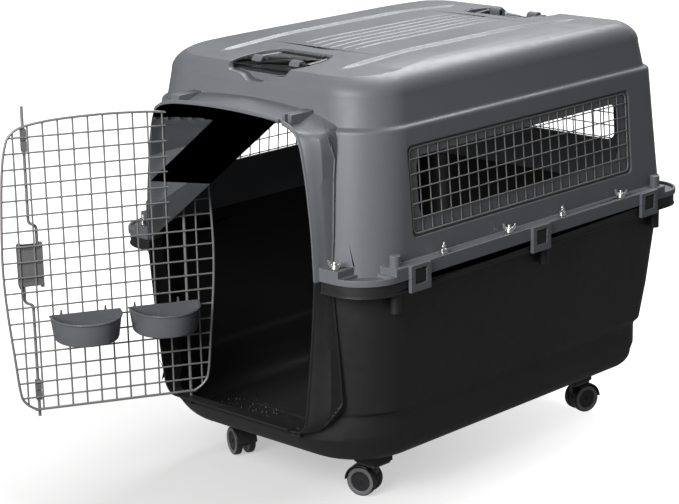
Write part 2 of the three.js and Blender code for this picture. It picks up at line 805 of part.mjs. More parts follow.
function wingNut({ x, y, turn }) {
  const z = SEAM_Z + UPPER_FLANGE + GAP;
  const hub = new THREE.CylinderGeometry(4.8, 6.4, 8, 8);
  hub.rotateX(Math.PI / 2);
  hub.translate(0, 0, 4);
  const wing = new THREE.Shape([
    new THREE.Vector2(4, 1),
    new THREE.Vector2(11.5, 10),
    new THREE.Vector2(10.5, 17.5),
    new THREE.Vector2(4, 7),
  ]);
  const pieces = [hub];
  for (const side of [0, Math.PI]) {
    const blade = new THREE.ExtrudeGeometry(wing, { depth: 2.4, bevelEnabled: false });
    blade.translate(0, 0, -1.2);
    blade.rotateX(Math.PI / 2);
    blade.rotateZ(side + Math.PI / 2);
    pieces.push(blade);
  }
  const hole = new THREE.CylinderGeometry(3.8, 3.8, 40, 6);
  hole.rotateX(Math.PI / 2);
  const placed = [...pieces, hole].map((piece) => {
    piece.rotateZ(THREE.MathUtils.degToRad(turn));
    piece.translate(x, y, z);
    return solid(piece);
  });
  return union(placed.slice(0, -1)).subtract(placed[placed.length - 1]);
}

// ---- casters, built with the stem on the Z axis and rolling along +X ----
function casterPlate() {
  const top = SEAM_Z + POST_BOTTOM - GAP;
  const base = bar(-21, 21, -21, 21, top - 3, top);
  return base.subtract(rod(3.8, [0, 0, top - 5], [0, 0, top + 2], 12));
}

function casterHood() {
  const top = SEAM_Z + POST_BOTTOM - 4;
  const axle = SEAM_Z + WHEEL_Z;
  const outline = [
    [-7.5, top], [-7.5, top - 16], [2, axle - 5], [9, axle - 10],
    [23, axle - 10], [30, axle], [32, axle + 10], [25, top - 2.5], [16, top],
  ];
  const web = slab([...outline].reverse(), -5.8, 5.8);
  const ringBody = rod(28.5, [TRAIL, -19, axle], [TRAIL, 19, axle], 20);
  const well = rod(26, [TRAIL, -20, axle], [TRAIL, 20, axle], 20);
  const below = bar(-60, 80, -30, 30, axle - 40, axle + 3);
  const ahead = bar(-60, TRAIL - 12, -30, 30, axle - 40, axle + 40);
  const fender = cut(ringBody, [well, below, ahead]);
  const pin = rod(2.4, [TRAIL, -18.5, axle], [TRAIL, 18.5, axle], 8);
  const stem = rod(3.5, [0, 0, top - 12], [0, 0, top + 18], 12);
  return union([web, fender, pin, stem]);
}

function casterWheel(side) {
  const axle = SEAM_Z + WHEEL_Z;
  const y0 = side * 6.2;
  const y1 = side * 17.8;
  const tyre = rod(WHEEL_RADIUS, [TRAIL, y0, axle], [TRAIL, y1, axle], 20);
  const dish = rod(16, [TRAIL, side * 16.8, axle], [TRAIL, side * 20, axle], 12);
  const bore = rod(2.5 + GAP, [TRAIL, y0 - side, axle], [TRAIL, side * 20, axle], 8);
  return cut(tyre, [dish, bore]);
}

const CASTERS = [
  { name: 'front_right', x: CASTER_X, y: -CASTER_Y, heading: 197 },
  { name: 'front_left', x: -CASTER_X, y: -CASTER_Y, heading: -22 },
  { name: 'rear_right', x: CASTER_X, y: CASTER_Y, heading: 74 },
  { name: 'rear_left', x: -CASTER_X, y: CASTER_Y, heading: 95 },
];

// ---- assembly ----
const group = new THREE.Group();
group.name = 'pet_transport_carrier';
const doorTurn = new THREE.Matrix4()
  .makeTranslation(HINGE_X, HINGE_Y, 0)
  .multiply(new THREE.Matrix4().makeRotationZ(-THREE.MathUtils.degToRad(DOOR_OPEN)))
  .multiply(new THREE.Matrix4().makeTranslation(-HINGE_X, -HINGE_Y, 0));

function addPart(name, body, color, matrix, metalness = 0) {
  const geometry = toGeometry(body);
  if (matrix) {
    geometry.applyMatrix4(matrix);
  }
  const material = new THREE.MeshStandardMaterial({ color, metalness, roughness: 0.6 });
  const mesh = new THREE.Mesh(geometry, material);
  mesh.name = name;
  group.add(mesh);
}

const GREY = 0x7b7e83;
const BLACK = 0x2a2a2b;
const STEEL = 0x6b6b6b;
const ZINC = 0xc8c8c6;
const BOWL = 0x56575c;
const CASTER_RING = 0x4d4f55;

addPart('top_shell', topShell(), GREY);
addPart('bottom_shell', bottomShell(), BLACK);
for (const window of WINDOWS) {
  addPart(`window_mesh_${window.name}`, windowMesh(window), STEEL, windowMatrix(window), 0.7);
}
addPart('door_grid', doorGrid(), STEEL, doorTurn, 0.7);
addPart('hinge_rod', hingeRod(), STEEL, doorTurn, 0.7);
addPart('latch_housing', latchHousing(), GREY, doorTurn);
addPart('latch_spring', latchSpring(), ZINC, doorTurn, 0.7);
for (const upper of [true, false]) {
  const end = upper ? 'upper' : 'lower';
  addPart(`latch_rod_${end}`, latchRod(upper), STEEL, doorTurn, 0.7);
  addPart(`latch_grip_${end}`, latchGrip(upper), GREY, doorTurn);
  addPart(`rod_guide_${end}`, rodGuide(upper), GREY, doorTurn);
}
addPart('bowl_left', bowl(172, [137.9, 210.5]), BOWL, doorTurn);
addPart('bowl_right', bowl(42, [16.9, 89.5]), BOWL, doorTurn);
addPart('handle_front', handle(-1), BLACK);
addPart('handle_rear', handle(1), BLACK);
for (const place of boltPlaces()) {
  addPart(`bolt_${place.name}`, bolt(place), ZINC, null, 0.8);
  addPart(`wing_nut_${place.name}`, wingNut(place), ZINC, null, 0.8);
}
for (const { name, x, y, heading } of CASTERS) {
  const turn = new THREE.Matrix4().makeRotationZ(THREE.MathUtils.degToRad(heading));
  const place = new THREE.Matrix4().makeTranslation(x, y, 0);
  const swung = place.clone().multiply(turn);
  addPart(`caster_plate_${name}`, casterPlate(), STEEL, place, 0.6);
  addPart(`caster_hood_${name}`, casterHood(), BLACK, swung);
  addPart(`caster_wheel_${name}_a`, casterWheel(1), CASTER_RING, swung);
  addPart(`caster_wheel_${name}_b`, casterWheel(-1), CASTER_RING, swung);
}

export default group;
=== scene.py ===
# Looks for the pet transport carrier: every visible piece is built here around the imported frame.
# Sizes in the geometry are millimetres in the row frame; objects are made in metres.
import math
import random

import bmesh
import bpy
from mathutils import Matrix, Vector


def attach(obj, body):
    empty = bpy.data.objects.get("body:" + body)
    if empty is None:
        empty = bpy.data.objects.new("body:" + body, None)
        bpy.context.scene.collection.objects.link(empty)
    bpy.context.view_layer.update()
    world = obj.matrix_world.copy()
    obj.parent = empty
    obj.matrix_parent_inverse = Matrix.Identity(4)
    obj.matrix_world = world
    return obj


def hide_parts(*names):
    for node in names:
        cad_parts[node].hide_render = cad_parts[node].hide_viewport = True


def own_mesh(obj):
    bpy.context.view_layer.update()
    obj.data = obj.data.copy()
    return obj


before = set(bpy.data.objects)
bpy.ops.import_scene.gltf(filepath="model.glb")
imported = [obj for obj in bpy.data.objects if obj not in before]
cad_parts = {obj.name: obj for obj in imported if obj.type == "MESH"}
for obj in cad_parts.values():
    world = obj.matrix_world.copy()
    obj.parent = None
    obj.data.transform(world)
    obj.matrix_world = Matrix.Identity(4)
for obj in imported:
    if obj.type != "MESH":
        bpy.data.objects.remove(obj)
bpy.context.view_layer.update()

MM = 0.001
SEAM = 320.0  # height of the joint between the shells
WALL = 4.0
HALF_X, FRONT, BACK = 273, 394, 388  # how far the walls stand from the middle at the joint
WALL_SLOPE = 0.069  # inward lean of the upper side and rear walls
FRONT_SLOPE = 0.0978  # inward lean of the upper front wall
LOWER_SLOPE = 0.067  # the same for the front wall below the joint
ROOF = 314  # roof deck above the joint
FALL_START = 150  # the roof is flat up to here and falls towards each end
FLANGE_X, FLANGE_Y = 293, 415  # edges of the flange
RIM_Y = -424  # front edge of the doorway collar
WINDOW_PITCH, WINDOW_PITCH_Z = 23.1, 23.4  # wire spacing along and up
WINDOW_Z = 126  # middle of the windows above the joint
WINDOW_HALF_Z = 67
# turn, distance from the middle, and wire pitches of each window
WINDOWS = {"right": (0, HALF_X, 24), "left": (180, HALF_X, 24), "rear": (90, BACK, 16)}
GROOVE_X = 136  # long grooves along the roof
ROD_X = 126.5  # blocks that hold the hinge and latch rods
TAB_SPACING = 297  # between the snap tabs along each side
BOLT_X = 285  # bolts in the side flanges
HINGE_X, HINGE_Y = -126.5, -400.0
DOOR_OPEN = math.radians(118.66)
LATCH_S = 253.0  # distance from hinge rod to latch rod
LATCH_Y = HINGE_Y - 4.4
PITCH_S, PITCH_Z = 24.2, 25.35  # door wire spacing
HANDLE_Y, HANDLE_Z = 297.5, 300.5
LUG_X = 42.0
POCKET_FLOOR = 291.0
GRIP_Y = 238  # grip of each folded handle
CASTER_X, CASTER_Y, TRAIL = 160.0, 266.0, 16.0
AXLE_Z = -375.0
POST_Z = -342.0
GROUND_Z = -400  # floor below the joint
LENS, SENSOR = 116.1565, 36  # camera's focal length and sensor width
DOOR_TURN = (
    Matrix.Translation((HINGE_X, HINGE_Y, 0))
    @ Matrix.Rotation(-DOOR_OPEN, 4, "Z")
    @ Matrix.Translation((-HINGE_X, -HINGE_Y, 0))
)


# ---------------------------------------------------------------- solids as (points, faces)
def merged(*solids):
    points, faces = [], []
    for p, f in solids:
        start = len(points)
        points += p
        faces += [tuple(i + start for i in face) for face in f]
    return points, faces


def moved(solid, matrix):
    points, faces = solid
    return [tuple(matrix @ Vector(p)) for p in points], faces


def loft(rings, closed=False):
    n = len(rings[0])
    points = [p for ring in rings for p in ring]
    faces = []
    spans = len(rings) if closed else len(rings) - 1
    for k in range(spans):
        a, b = k * n, ((k + 1) % len(rings)) * n
        faces += [(a + i, a + (i + 1) % n, b + (i + 1) % n, b + i) for i in range(n)]
    if not closed:
        faces.append(tuple(reversed(range(n))))
        faces.append(tuple(range((len(rings) - 1) * n, len(rings) * n)))
    return points, faces


def box(x0, x1, y0, y1, z0, z1):
    low = [(x0, y0, z0), (x1, y0, z0), (x1, y1, z0), (x0, y1, z0)]
    high = [(x, y, z1) for x, y, _ in low]
    return loft([low, high])


def frustum(r0, r1, start, end, sides=32):
    a, b = Vector(start), Vector(end)
    turn = (b - a).to_track_quat("Z", "Y").to_matrix()
    rings = []
    for r, base in ((r0, a), (r1, b)):
        ring = []
        for i in range(sides):
            t = 2 * math.pi * i / sides
            ring.append(tuple(base + turn @ Vector((r * math.cos(t), r * math.sin(t), 0))))
        rings.append(ring)
    return loft(rings)


def rod(r, start, end, sides=32):
    return frustum(r, r, start, end, sides)


def tube(path, radius, sides=12, closed=False):
    """A round tube along a path, with a frame carried along it without twist."""
    path = [Vector(p) for p in path]
    n = len(path)
    rings = []
    side = None
    for i, p in enumerate(path):
        before = path[i - 1] if i or closed else p
        after = path[(i + 1) % n] if i < n - 1 or closed else p
        along = (after - before).normalized()
        if side is None:
            side = along.orthogonal().normalized()
        side = (side - along * side.dot(along)).normalized()
        other = along.cross(side)
        ring = []
        for k in range(sides):
            t = 2 * math.pi * k / sides
            ring.append(tuple(p + (side * math.cos(t) + other * math.sin(t)) * radius))
        rings.append(ring)
    return loft(rings, closed)


def lathe(profile, start, axis, sides=48):
    """Turns [radius, height] points about an axis."""
    turn = Vector(axis).to_track_quat("Z", "Y").to_matrix()
    rings = []
    for r, h in profile:
        ring = []
        for i in range(sides):
            t = 2 * math.pi * i / sides
            ring.append(tuple(Vector(start) + turn @ Vector((r * math.cos(t), r * math.sin(t), h))))
        rings.append(ring)
    return loft(rings)


def prism(outline, axis, low, high):
    """Outline of pairs, extruded along X, Y or Z between two values."""
    def place(a, b, c):
        return {"X": (c, a, b), "Y": (a, c, b), "Z": (a, b, c)}[axis]
    return loft([[place(a, b, low) for a, b in outline], [place(a, b, high) for a, b in outline]])


def smoothed(points, steps=6, closed=True):
    """Catmull-Rom curve through points of any dimension."""
    n = len(points)
    out = []
    for i in range(n if closed else n - 1):
        if closed:
            p = [points[(i + k - 1) % n] for k in range(4)]
        else:
            p = [points[min(max(i + k - 1, 0), n - 1)] for k in range(4)]
        for s in range(steps):
            t = s / steps
            out.append(tuple(
                0.5 * (2 * b + (c - a) * t + (2 * a - 5 * b + 4 * c - d) * t * t
                       + (3 * b - a - 3 * c + d) * t ** 3)
                for a, b, c, d in zip(*p)))
    if not closed:
        out.append(tuple(points[-1]))
    return out


def rounded(points, radius, steps=6):
    """A polyline with its inner corners rounded."""
    points = [Vector(p) for p in points]
    out = [points[0]]
    for a, b, c in zip(points, points[1:], points[2:]):
        into = (a - b).normalized() * min(radius, (a - b).length / 2)
        away = (c - b).normalized() * min(radius, (c - b).length / 2)
        for i in range(steps + 1):
            t = i / steps
            out.append((b + into) * (1 - t) ** 2 + b * 2 * t * (1 - t) + (b + away) * t * t)
    return out + [points[-1]]


def grown(outline, amount):
    n = len(outline)
    out = []
    for i, (x, z) in enumerate(outline):
        px, pz = outline[i - 1]
        nx, nz = outline[(i + 1) % n]
        length = math.hypot(nx - px, nz - pz) or 1.0
        out.append((x + amount * (nz - pz) / length, z - amount * (nx - px) / length))
    return out


def ring(half_x, front, back, front_radius, back_radius, z, steps=16):
    """A rounded rectangle at one height; front and back have their own reach and radius."""
    points = []
    corners = ((1, -1, -90, front, front_radius), (1, 1, 0, back, back_radius),
               (-1, 1, 90, back, back_radius), (-1, -1, 180, front, front_radius))
    for sx, sy, start, reach, radius in corners:
        for i in range(steps + 1):
            t = math.radians(start + 90 * i / steps)
            x = sx * (half_x - radius) + radius * math.cos(t)
            y = sy * (reach - radius) + radius * math.sin(t)
            points.append((x, y, SEAM + z))
    return points


# ---------------------------------------------------------------- objects
def build(name, solid):
    points, faces = solid
    mesh = bpy.data.meshes.new(name)
    mesh.from_pydata([(x * MM, y * MM, z * MM) for x, y, z in points], [], faces)
    work = bmesh.new()
    work.from_mesh(mesh)
    bmesh.ops.recalc_face_normals(work, faces=work.faces)
    work.to_mesh(mesh)
    work.free()
    obj = bpy.data.objects.new(name, mesh)
    bpy.context.scene.collection.objects.link(obj)
    return obj


def apply_modifiers(obj):
    graph = bpy.context.evaluated_depsgraph_get()
    mesh = bpy.data.meshes.new_from_object(obj.evaluated_get(graph))
    obj.modifiers.clear()
    obj.data = mesh


def add_object(obj, kind, other):
    """Unites, cuts or intersects obj with another object, which is used up."""
    modifier = obj.modifiers.new("b", "BOOLEAN")
    modifier.operation = kind
    modifier.solver = "MANIFOLD"
    modifier.object = other
    apply_modifiers(obj)
    bpy.data.objects.remove(other)


def boolean(obj, kind, *solids):
    for solid in solids:
        add_object(obj, kind, build("tool", solid))


def join(obj, *solids):
    boolean(obj, "UNION", *solids)


def carve(obj, *solids):
    boolean(obj, "DIFFERENCE", *solids)


def soften(obj, width, segments=2, angle=30):
    if width:
        bevel = obj.modifiers.new("edge", "BEVEL")
        bevel.width = width * MM
        bevel.segments = segments
        bevel.limit_method = "ANGLE"
        bevel.angle_limit = math.radians(angle)
        bevel.use_clamp_overlap = False
        bevel.miter_outer = "MITER_ARC"
        apply_modifiers(obj)
    obj.data.polygons.foreach_set("use_smooth", [True] * len(obj.data.polygons))
    obj.data.set_sharp_from_angle(angle=math.radians(38))
    weighted = obj.modifiers.new("normals", "WEIGHTED_NORMAL")
    weighted.keep_sharp = True
    apply_modifiers(obj)


def place(obj, body, slot, material, *replaced):
    obj.data.materials.clear()
    obj.data.materials.append(material)
    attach(obj, body)
    if replaced:
        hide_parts(*replaced)
    return obj


def piece(name, solid, body, slot, material, *replaced, width=0.0, segments=2, matrix=None):
    if matrix is not None:
        solid = moved(solid, matrix)
    obj = build(name, solid)
    soften(obj, width, segments)
    return place(obj, body, slot, material, *replaced)


# ---------------------------------------------------------------- materials
ROUGH_VARY = 0.07  # how far roughness drifts across a surface


def surface(name, color, rough, metal=0.0, spec=0.5, grain=1100.0, bump=0.1, vary=0.06):
    """Moulded or coated surface: faint patches of tone and roughness, and a fine grain."""
    mat = bpy.data.materials.new(name)
    mat.use_nodes = True
    tree = mat.node_tree
    nodes, links = tree.nodes, tree.links
    shader = nodes["Principled BSDF"]
    shader.inputs["Metallic"].default_value = metal
    shader.inputs["Specular IOR Level"].default_value = spec
    where = nodes.new("ShaderNodeTexCoord")

    def noise(scale, detail):
        node = nodes.new("ShaderNodeTexNoise")
        node.inputs["Scale"].default_value = scale
        node.inputs["Detail"].default_value = detail
        links.new(where.outputs["Object"], node.inputs["Vector"])
        return node

    broad = noise(7.0, 3.0)
    fine = noise(grain, 2.0)
    patch = noise(60.0, 4.0)
    tone = nodes.new("ShaderNodeValToRGB")
    tone.color_ramp.elements[0].position = 0.3
    tone.color_ramp.elements[1].position = 0.7
    tone.color_ramp.elements[0].color = [c * (1 - vary) for c in color] + [1]
    tone.color_ramp.elements[1].color = [min(c * (1 + vary), 1) for c in color] + [1]
    blend = nodes.new("ShaderNodeMath")
    blend.operation = "MULTIPLY_ADD"
    blend.inputs[1].default_value = 0.4
    links.new(patch.outputs["Fac"], blend.inputs[0])
    scaled = nodes.new("ShaderNodeMath")
    scaled.operation = "MULTIPLY"
    scaled.inputs[1].default_value = 0.6
    links.new(broad.outputs["Fac"], scaled.inputs[0])
    links.new(scaled.outputs[0], blend.inputs[2])
    links.new(blend.outputs[0], tone.inputs["Fac"])
    links.new(tone.outputs["Color"], shader.inputs["Base Color"])
    roughness = nodes.new("ShaderNodeMapRange")
    roughness.inputs["From Min"].default_value = 0.35
    roughness.inputs["From Max"].default_value = 0.65
    roughness.inputs["To Min"].default_value = rough - ROUGH_VARY
    roughness.inputs["To Max"].default_value = rough + ROUGH_VARY
    links.new(blend.outputs[0], roughness.inputs["Value"])
    links.new(roughness.outputs["Result"], shader.inputs["Roughness"])
    height = nodes.new("ShaderNodeBump")
    height.inputs["Strength"].default_value = bump
    height.inputs["Distance"].default_value = 0.0004
    links.new(fine.outputs["Fac"], height.inputs["Height"])
    links.new(height.outputs["Normal"], shader.inputs["Normal"])
    return mat


GREY = surface("grey_shell_plastic", (0.118, 0.124, 0.136), 0.45, spec=0.4, bump=0.16, vary=0.035)
BLACK = surface("black_shell_plastic", (0.0145, 0.0145, 0.0148), 0.5, spec=0.4, bump=0.22, vary=0.1)
WIRE = surface("coated_wire", (0.21, 0.208, 0.205), 0.42, metal=0.35, grain=500.0, bump=0.08)
ZINC = surface("bright_zinc", (0.72, 0.72, 0.70), 0.3, metal=1.0, grain=700.0, bump=0.12)
BOWL = surface("bowl_plastic", (0.108, 0.110, 0.119), 0.27, grain=400.0, bump=0.03, vary=0.04)
LATCH = surface("latch_plastic", (0.11, 0.11, 0.113), 0.45, bump=0.1)
LATCH_EDGE = surface("latch_dark_plastic", (0.03, 0.03, 0.031), 0.45, bump=0.1)
HANDLE = surface("handle_plastic", (0.010, 0.010, 0.0105), 0.42, spec=0.4, bump=0.15)
CASTER = surface("caster_plastic", (0.018, 0.018, 0.0185), 0.4, spec=0.4, bump=0.1)
WHEEL = surface("wheel_plastic", (0.13, 0.132, 0.14), 0.45, bump=0.1)
STEEL = surface("pressed_steel", (0.10, 0.10, 0.10), 0.4, metal=0.8)


# ---------------------------------------------------------------- shells
def section(half_x, front, back, front_radius, back_radius, z, inset, lift):
    """One ring of a shell; inset moves it inwards by the wall thickness and lift raises it."""
    rounding = inset / 2
    near = (half_x - inset, front - inset, back - inset)
    return ring(*near, front_radius - rounding, back_radius - rounding, z + lift)


def upper_rings(inset):
    rings = [section(HALF_X, FRONT, BACK, 88, 44, 0, inset, -inset * 5)]
    for z in (60, 140):
        lean = WALL_SLOPE * z
        front, front_radius = FRONT - FRONT_SLOPE * z, 88 + 0.027 * z
        rings.append(section(HALF_X - lean, front, BACK - lean, front_radius, 44, z, inset, 0))
    shoulder = [(0, 222), (0.5, 225), (1.6, 226.8), (3.6, 228.2), (5.6, 229.4), (6.9, 231), (7.5, 233.5)]
    for step, z in shoulder:
        front, front_radius = 372 - 1.45 * step, 94 - 0.8 * step
        rings.append(section(257.6 - step, front, 372.6 - step, front_radius, 43, z, inset, -inset * 0.6))
    for t in range(0, 91, 6):
        c = math.cos(math.radians(t)) ** 0.909
        s = math.sin(math.radians(t)) ** 0.909
        near = inset * (0.3 + 0.7 * c)
        rings.append(ring(186 + 58.5 * c - near, 300 + 56 * c - near, 298 + 60.5 * c - near, 86 + 2 * c,
                          56 - 14 * c, 270 + 44 * s - inset))
    return rings


def upper_body(inset):
    """The closed outer body; inset gives the room inside it. The roof falls towards each end."""
    obj = build("upper_body", loft(upper_rings(inset)))
    for end in (-1, 1):
        falls = ((110, -0.05), (130, 0.25), (150, 0.8), (170, 1.6), (195, 2.75), (450, 16.3))
        line = [(end * y, SEAM + ROOF - inset - fall) for y, fall in falls]
        outline = line + [(end * 450, SEAM + 360), (end * 110, SEAM + 360)]
        carve(obj, prism(outline, "X", -300, 300))
    return obj


def lower_rings(inset):
    """Below the step the front stands forward of the wall as a rounded skirt."""
    rings = []
    for t in range(0, 91, 9):
        c, s = math.cos(math.radians(t)), math.sin(math.radians(t))
        front = 346 + 21.5 * (1 + s - c)
        radii = (76 + 44 * s, 30 + 20 * s)
        rings.append(section(206 + 34 * s, front, 323 + 35 * s, *radii, -285 - 32 * c, inset, inset))
    for front, z in ((401.4, -271), (402, -264), (402, -250), (400.5, -241)):
        rings.append(section(242.6, front, 360, 125, 46, z, inset, 0))
    for step, front, z in ((0.4, 397, -235.5), (1.2, 393.5, -232), (3.2, 388, -229.4), (5.2, 383.4, -227.2),
                           (6.8, 380.4, -225), (7.4, 379.2, -222)):
        rings.append(section(242.8 + step, front, 359.8 + step, 122 - 4.4 * step, 46, z, inset, 0))
    rings.append(section(258, 383.4, 374, 88, 44, -158, inset, 0))
    rings.append(section(HALF_X, FRONT, BACK, 88, 44, 0, inset, inset * 5))
    return rings


OPENING_RIGHT = [
    (0, 245), (32, 244.7), (62, 243.5), (90, 242), (112, 240), (130, 237), (146, 232), (157, 224), (163, 213),
    (168, 195), (175, 158), (181, 112), (185, 70), (188, 6), (188, -6), (184.5, -50), (179.5, -100),
    (174, -145), (168, -190), (163, -226), (159, -240), (151, -249), (139, -252.5), (70, -252.5),
]
BEAD_RIGHT = [
    (0, 257), (34, 256.8), (62, 256), (88, 254.8), (110, 253), (132, 251), (154, 247.5), (176, 239.5),
    (189, 227), (194.5, 207), (195, 158), (197, 112), (199, 70), (200.5, 6), (200.5, -6), (201.5, -50),
    (203, -100), (204, -145), (204, -185), (203, -208), (194, -228), (180, -243), (156, -257), (70, -262),
]


def both_halves(right, low):
    left = [(-x, z) for x, z in right[1:]][::-1]
    loop = right + [(0, low)] + left
    return loop[::-1]


OPENING = both_halves(OPENING_RIGHT, -252.5)
BEAD = both_halves(BEAD_RIGHT, -262)


def mixed(a, b, t):
    return [(p[0] * (1 - t) + q[0] * t, p[1] * (1 - t) + q[1] * t) for p, q in zip(a, b)]


def front_ring(outline, y):
    return [(x, y, SEAM + z) for x, z in smoothed(outline, 4)]


def seat_y(z):
    """Where the collar starts to narrow towards its rim, at a height from the seam."""
    if z > 185:
        return -375.5 - 19.5 * min(1.0, (z - 185) / 58)
    if z < -205:
        return -380.3 - 18 * min(1.0, (-205 - z) / 22)
    return -FRONT + abs(z) * (FRONT_SLOPE if z > 0 else LOWER_SLOPE)


def crowned(outline, rise):
    """Raises the part of an outline over the doorway's top."""
    return [(x, z + rise * max(0.0, min(1.0, (z - 226) / 12))) for x, z in outline]


def collar():
    shoulder = [(x, z - (5 + abs(x) * 0.075) * max(0.0, min(1.0, (z - 226) / 22))) for x, z in BEAD]
    lip = crowned(grown(OPENING, 4.2), 4)
    rings = [front_ring(BEAD, -350), [(x, seat_y(z), SEAM + z) for x, z in smoothed(shoulder, 4)]]
    stages = [
        (crowned(mixed(lip, shoulder, 0.82), -1.5), -400.5), (crowned(mixed(lip, shoulder, 0.6), -3.5), -405),
        (crowned(mixed(lip, shoulder, 0.36), -4), -412), (crowned(mixed(lip, shoulder, 0.18), -2.5), -417.5),
        (lip, -420.6), (crowned(grown(OPENING, 3.6), 3.9), -423), (crowned(grown(OPENING, 2.4), 3.4), RIM_Y),
    ]
    return loft(rings + [front_ring(outline, y) for outline, y in stages])


def collar_bead():
    """Thin raised line where the collar meets the side walls."""
    path = [(x, seat_y(z) - 0.3, SEAM + z) for x, z in smoothed(BEAD_RIGHT[9:22], 4, closed=False)]
    other = [(-x, y, z) for x, y, z in path]
    return merged(tube(path, 1.5, 10), tube(other, 1.5, 10))


def inner_outline(amount):
    """The opening on the inner side of the front wall, wider at the sides than at the top and sill."""
    out = []
    for (_, z), (wide_x, wide_z) in zip(OPENING, grown(OPENING, amount)):
        if z > 215:
            out.append((wide_x, z - 0.45 * amount))
        else:
            out.append((wide_x, max(wide_z, -256)))
    return out


def doorway():
    stages = [
        (inner_outline(10), -330), (inner_outline(9.5), -388), (inner_outline(6.5), -405),
        (grown(OPENING, 1.2), -419), (grown(OPENING, 0.3), -422.5),
        (grown(OPENING, 1.2), -424.5), (grown(OPENING, 1.2), -428),
    ]
    return loft([front_ring(outline, y) for outline, y in stages])


def rod_blocks():
    """Blocks that carry the hinge and latch rods, above and below the doorway."""
    solids = []
    for x in (-ROD_X, ROD_X):
        solids.append(box(x - 10, x + 10, -409, -352, SEAM + 234, SEAM + 252))
        solids.append(box(x - 10, x + 10, -410, -380, SEAM - 269, SEAM - 255))
    return merged(*solids)


def rod_holes():
    x = ROD_X
    return merged(
        rod(3.2, (HINGE_X, HINGE_Y, SEAM - 265), (HINGE_X, HINGE_Y, SEAM + 246)),
        box(x - 4.2, x + 2.9, -430, LATCH_Y + 3, SEAM + 225, SEAM + 254),
        box(x - 4.2, x + 2.9, -430, LATCH_Y + 3, SEAM - 265, SEAM - 245),
    )


def bolt_places():
    places = []
    for i, y in enumerate((-230, -69, 69, 230)):
        places.append((f"right_{i + 1}", BOLT_X, y, -46 if i % 2 else 38))
        places.append((f"left_{i + 1}", -BOLT_X, y, -30 if i % 2 else 12))
    for i, x in enumerate((-219, 219)):
        places.append((f"front_{i + 1}", x, -406.5, -50 if i else 50))
        places.append((f"rear_{i + 1}", x, 402, 90))
    return places


def bolt_holes():
    shafts = [rod(3.4, (x, y, SEAM - 60), (x, y, SEAM + 60), 20) for _, x, y, _ in bolt_places()]
    return merged(*shafts)


def bolt_seats():
    return merged(*[rod(4.3, (x, y, SEAM - 60), (x, y, SEAM - 16.9), 20) for _, x, y, _ in bolt_places()])


def window_matrix(name):
    turn, reach, _ = WINDOWS[name]
    out = Matrix.Translation((reach - WALL_SLOPE * WINDOW_Z, 0, SEAM + WINDOW_Z))
    return Matrix.Rotation(math.radians(turn), 4, "Z") @ out @ Matrix.Rotation(-math.atan(WALL_SLOPE), 4, "Y")


def window_half(name):
    return WINDOWS[name][2] * WINDOW_PITCH / 2


def rounded_rect(half_a, low, high, radius, steps=8):
    out = []
    corners = ((half_a - radius, high - radius, 0), (radius - half_a, high - radius, 90),
               (radius - half_a, low + radius, 180), (half_a - radius, low + radius, 270))
    for a, b, start in corners:
        for i in range(steps + 1):
            t = math.radians(start + 90 * i / steps)
            out.append((a + radius * math.cos(t), b + radius * math.sin(t)))
    return out


def window_tools(name):
    place_it, half = window_matrix(name), window_half(name)
    backing = moved(box(-10, -3, -half - 9, half + 9, -76, 76), place_it)
    recess = moved(prism(rounded_rect(half + 5, -72, 72, 9), "X", -6, 12), place_it)
    opening = moved(prism(rounded_rect(half - 19.5, -44, 52, 18), "X", -30, 30), place_it)
    return backing, recess, opening


def pocket(grow, z0, z1, end):
    half = [(50, 229), (58, 233), (72, 264), (74, 298), (72, 318), (67, 334)]
    right = [(x + grow, y + (grow if y > 300 else -grow)) for x, y in smoothed(half, 4, closed=False)]
    outline = right + [(-x, y) for x, y in right[::-1]]
    return prism([(x, end * y) for x, y in outline], "Z", SEAM + z0, SEAM + z1)


def pocket_mouth(grow, end):
    """Scooped mouth that opens the pocket through the roof's end."""
    right = [(0, 279), (9, 279.3), (18, 281.2), (25, 285.4), (32, 288.6), (46, 290.6), (58, 291.4),
             (64, 294.5), (67, 302)]
    curve = smoothed([(-x, z) for x, z in right[1:]][::-1] + right, 3, closed=False)
    outline = [(x + math.copysign(grow, x) * (x != 0), SEAM + z - grow) for x, z in curve]
    outline += [(67 + grow, SEAM + 340), (-67 - grow, SEAM + 340)]
    low, high = sorted((end * (333 - grow), end * 400))
    return prism(outline, "Y", low, high)


def pocket_well(grow, z0, z1, end):
    """Deeper finger room under the grip."""
    back, front = (48 + grow, 232 - grow), (58 + grow, 280 + grow)
    outline = [back, front, (-front[0], front[1]), (-back[0], back[1])]
    return prism([(x, end * y) for x, y in outline], "Z", SEAM + z0, SEAM + z1)


def lug(side, end):
    x, y, z = side * LUG_X, end * HANDLE_Y, SEAM + HANDLE_Z
    radius = 9.5
    profile = [(y - radius, SEAM + 289), (y + radius, SEAM + 289)]
    for t in range(0, 181, 12):
        profile.append((y + radius * math.cos(math.radians(t)), z + radius * math.sin(math.radians(t))))
    return prism(profile, "X", x - 10.5, x + 10.5)


def groove(x, half_width, depth, reach):
    """A tapered lengthwise groove sunk in the deck."""
    rings = []
    for k in range(-12, 13):
        t = k / 12
        y = reach * t
        fade = max(0.0, min(1.0, (1 - abs(t)) * 9))
        w = half_width * (0.35 + 0.65 * fade)
        d = depth * fade - 0.6 * (1 - fade)
        top = SEAM + ROOF - max(0.0, abs(y) - FALL_START) * 0.0533
        rings.append([(x - w - 3, y, top + 6), (x - w, y, top + 0.2), (x - w * 0.5, y, top - d * 0.85),
                      (x, y, top - d), (x + w * 0.5, y, top - d * 0.85), (x + w, y, top + 0.2),
                      (x + w + 3, y, top + 6)])
    return loft(rings)


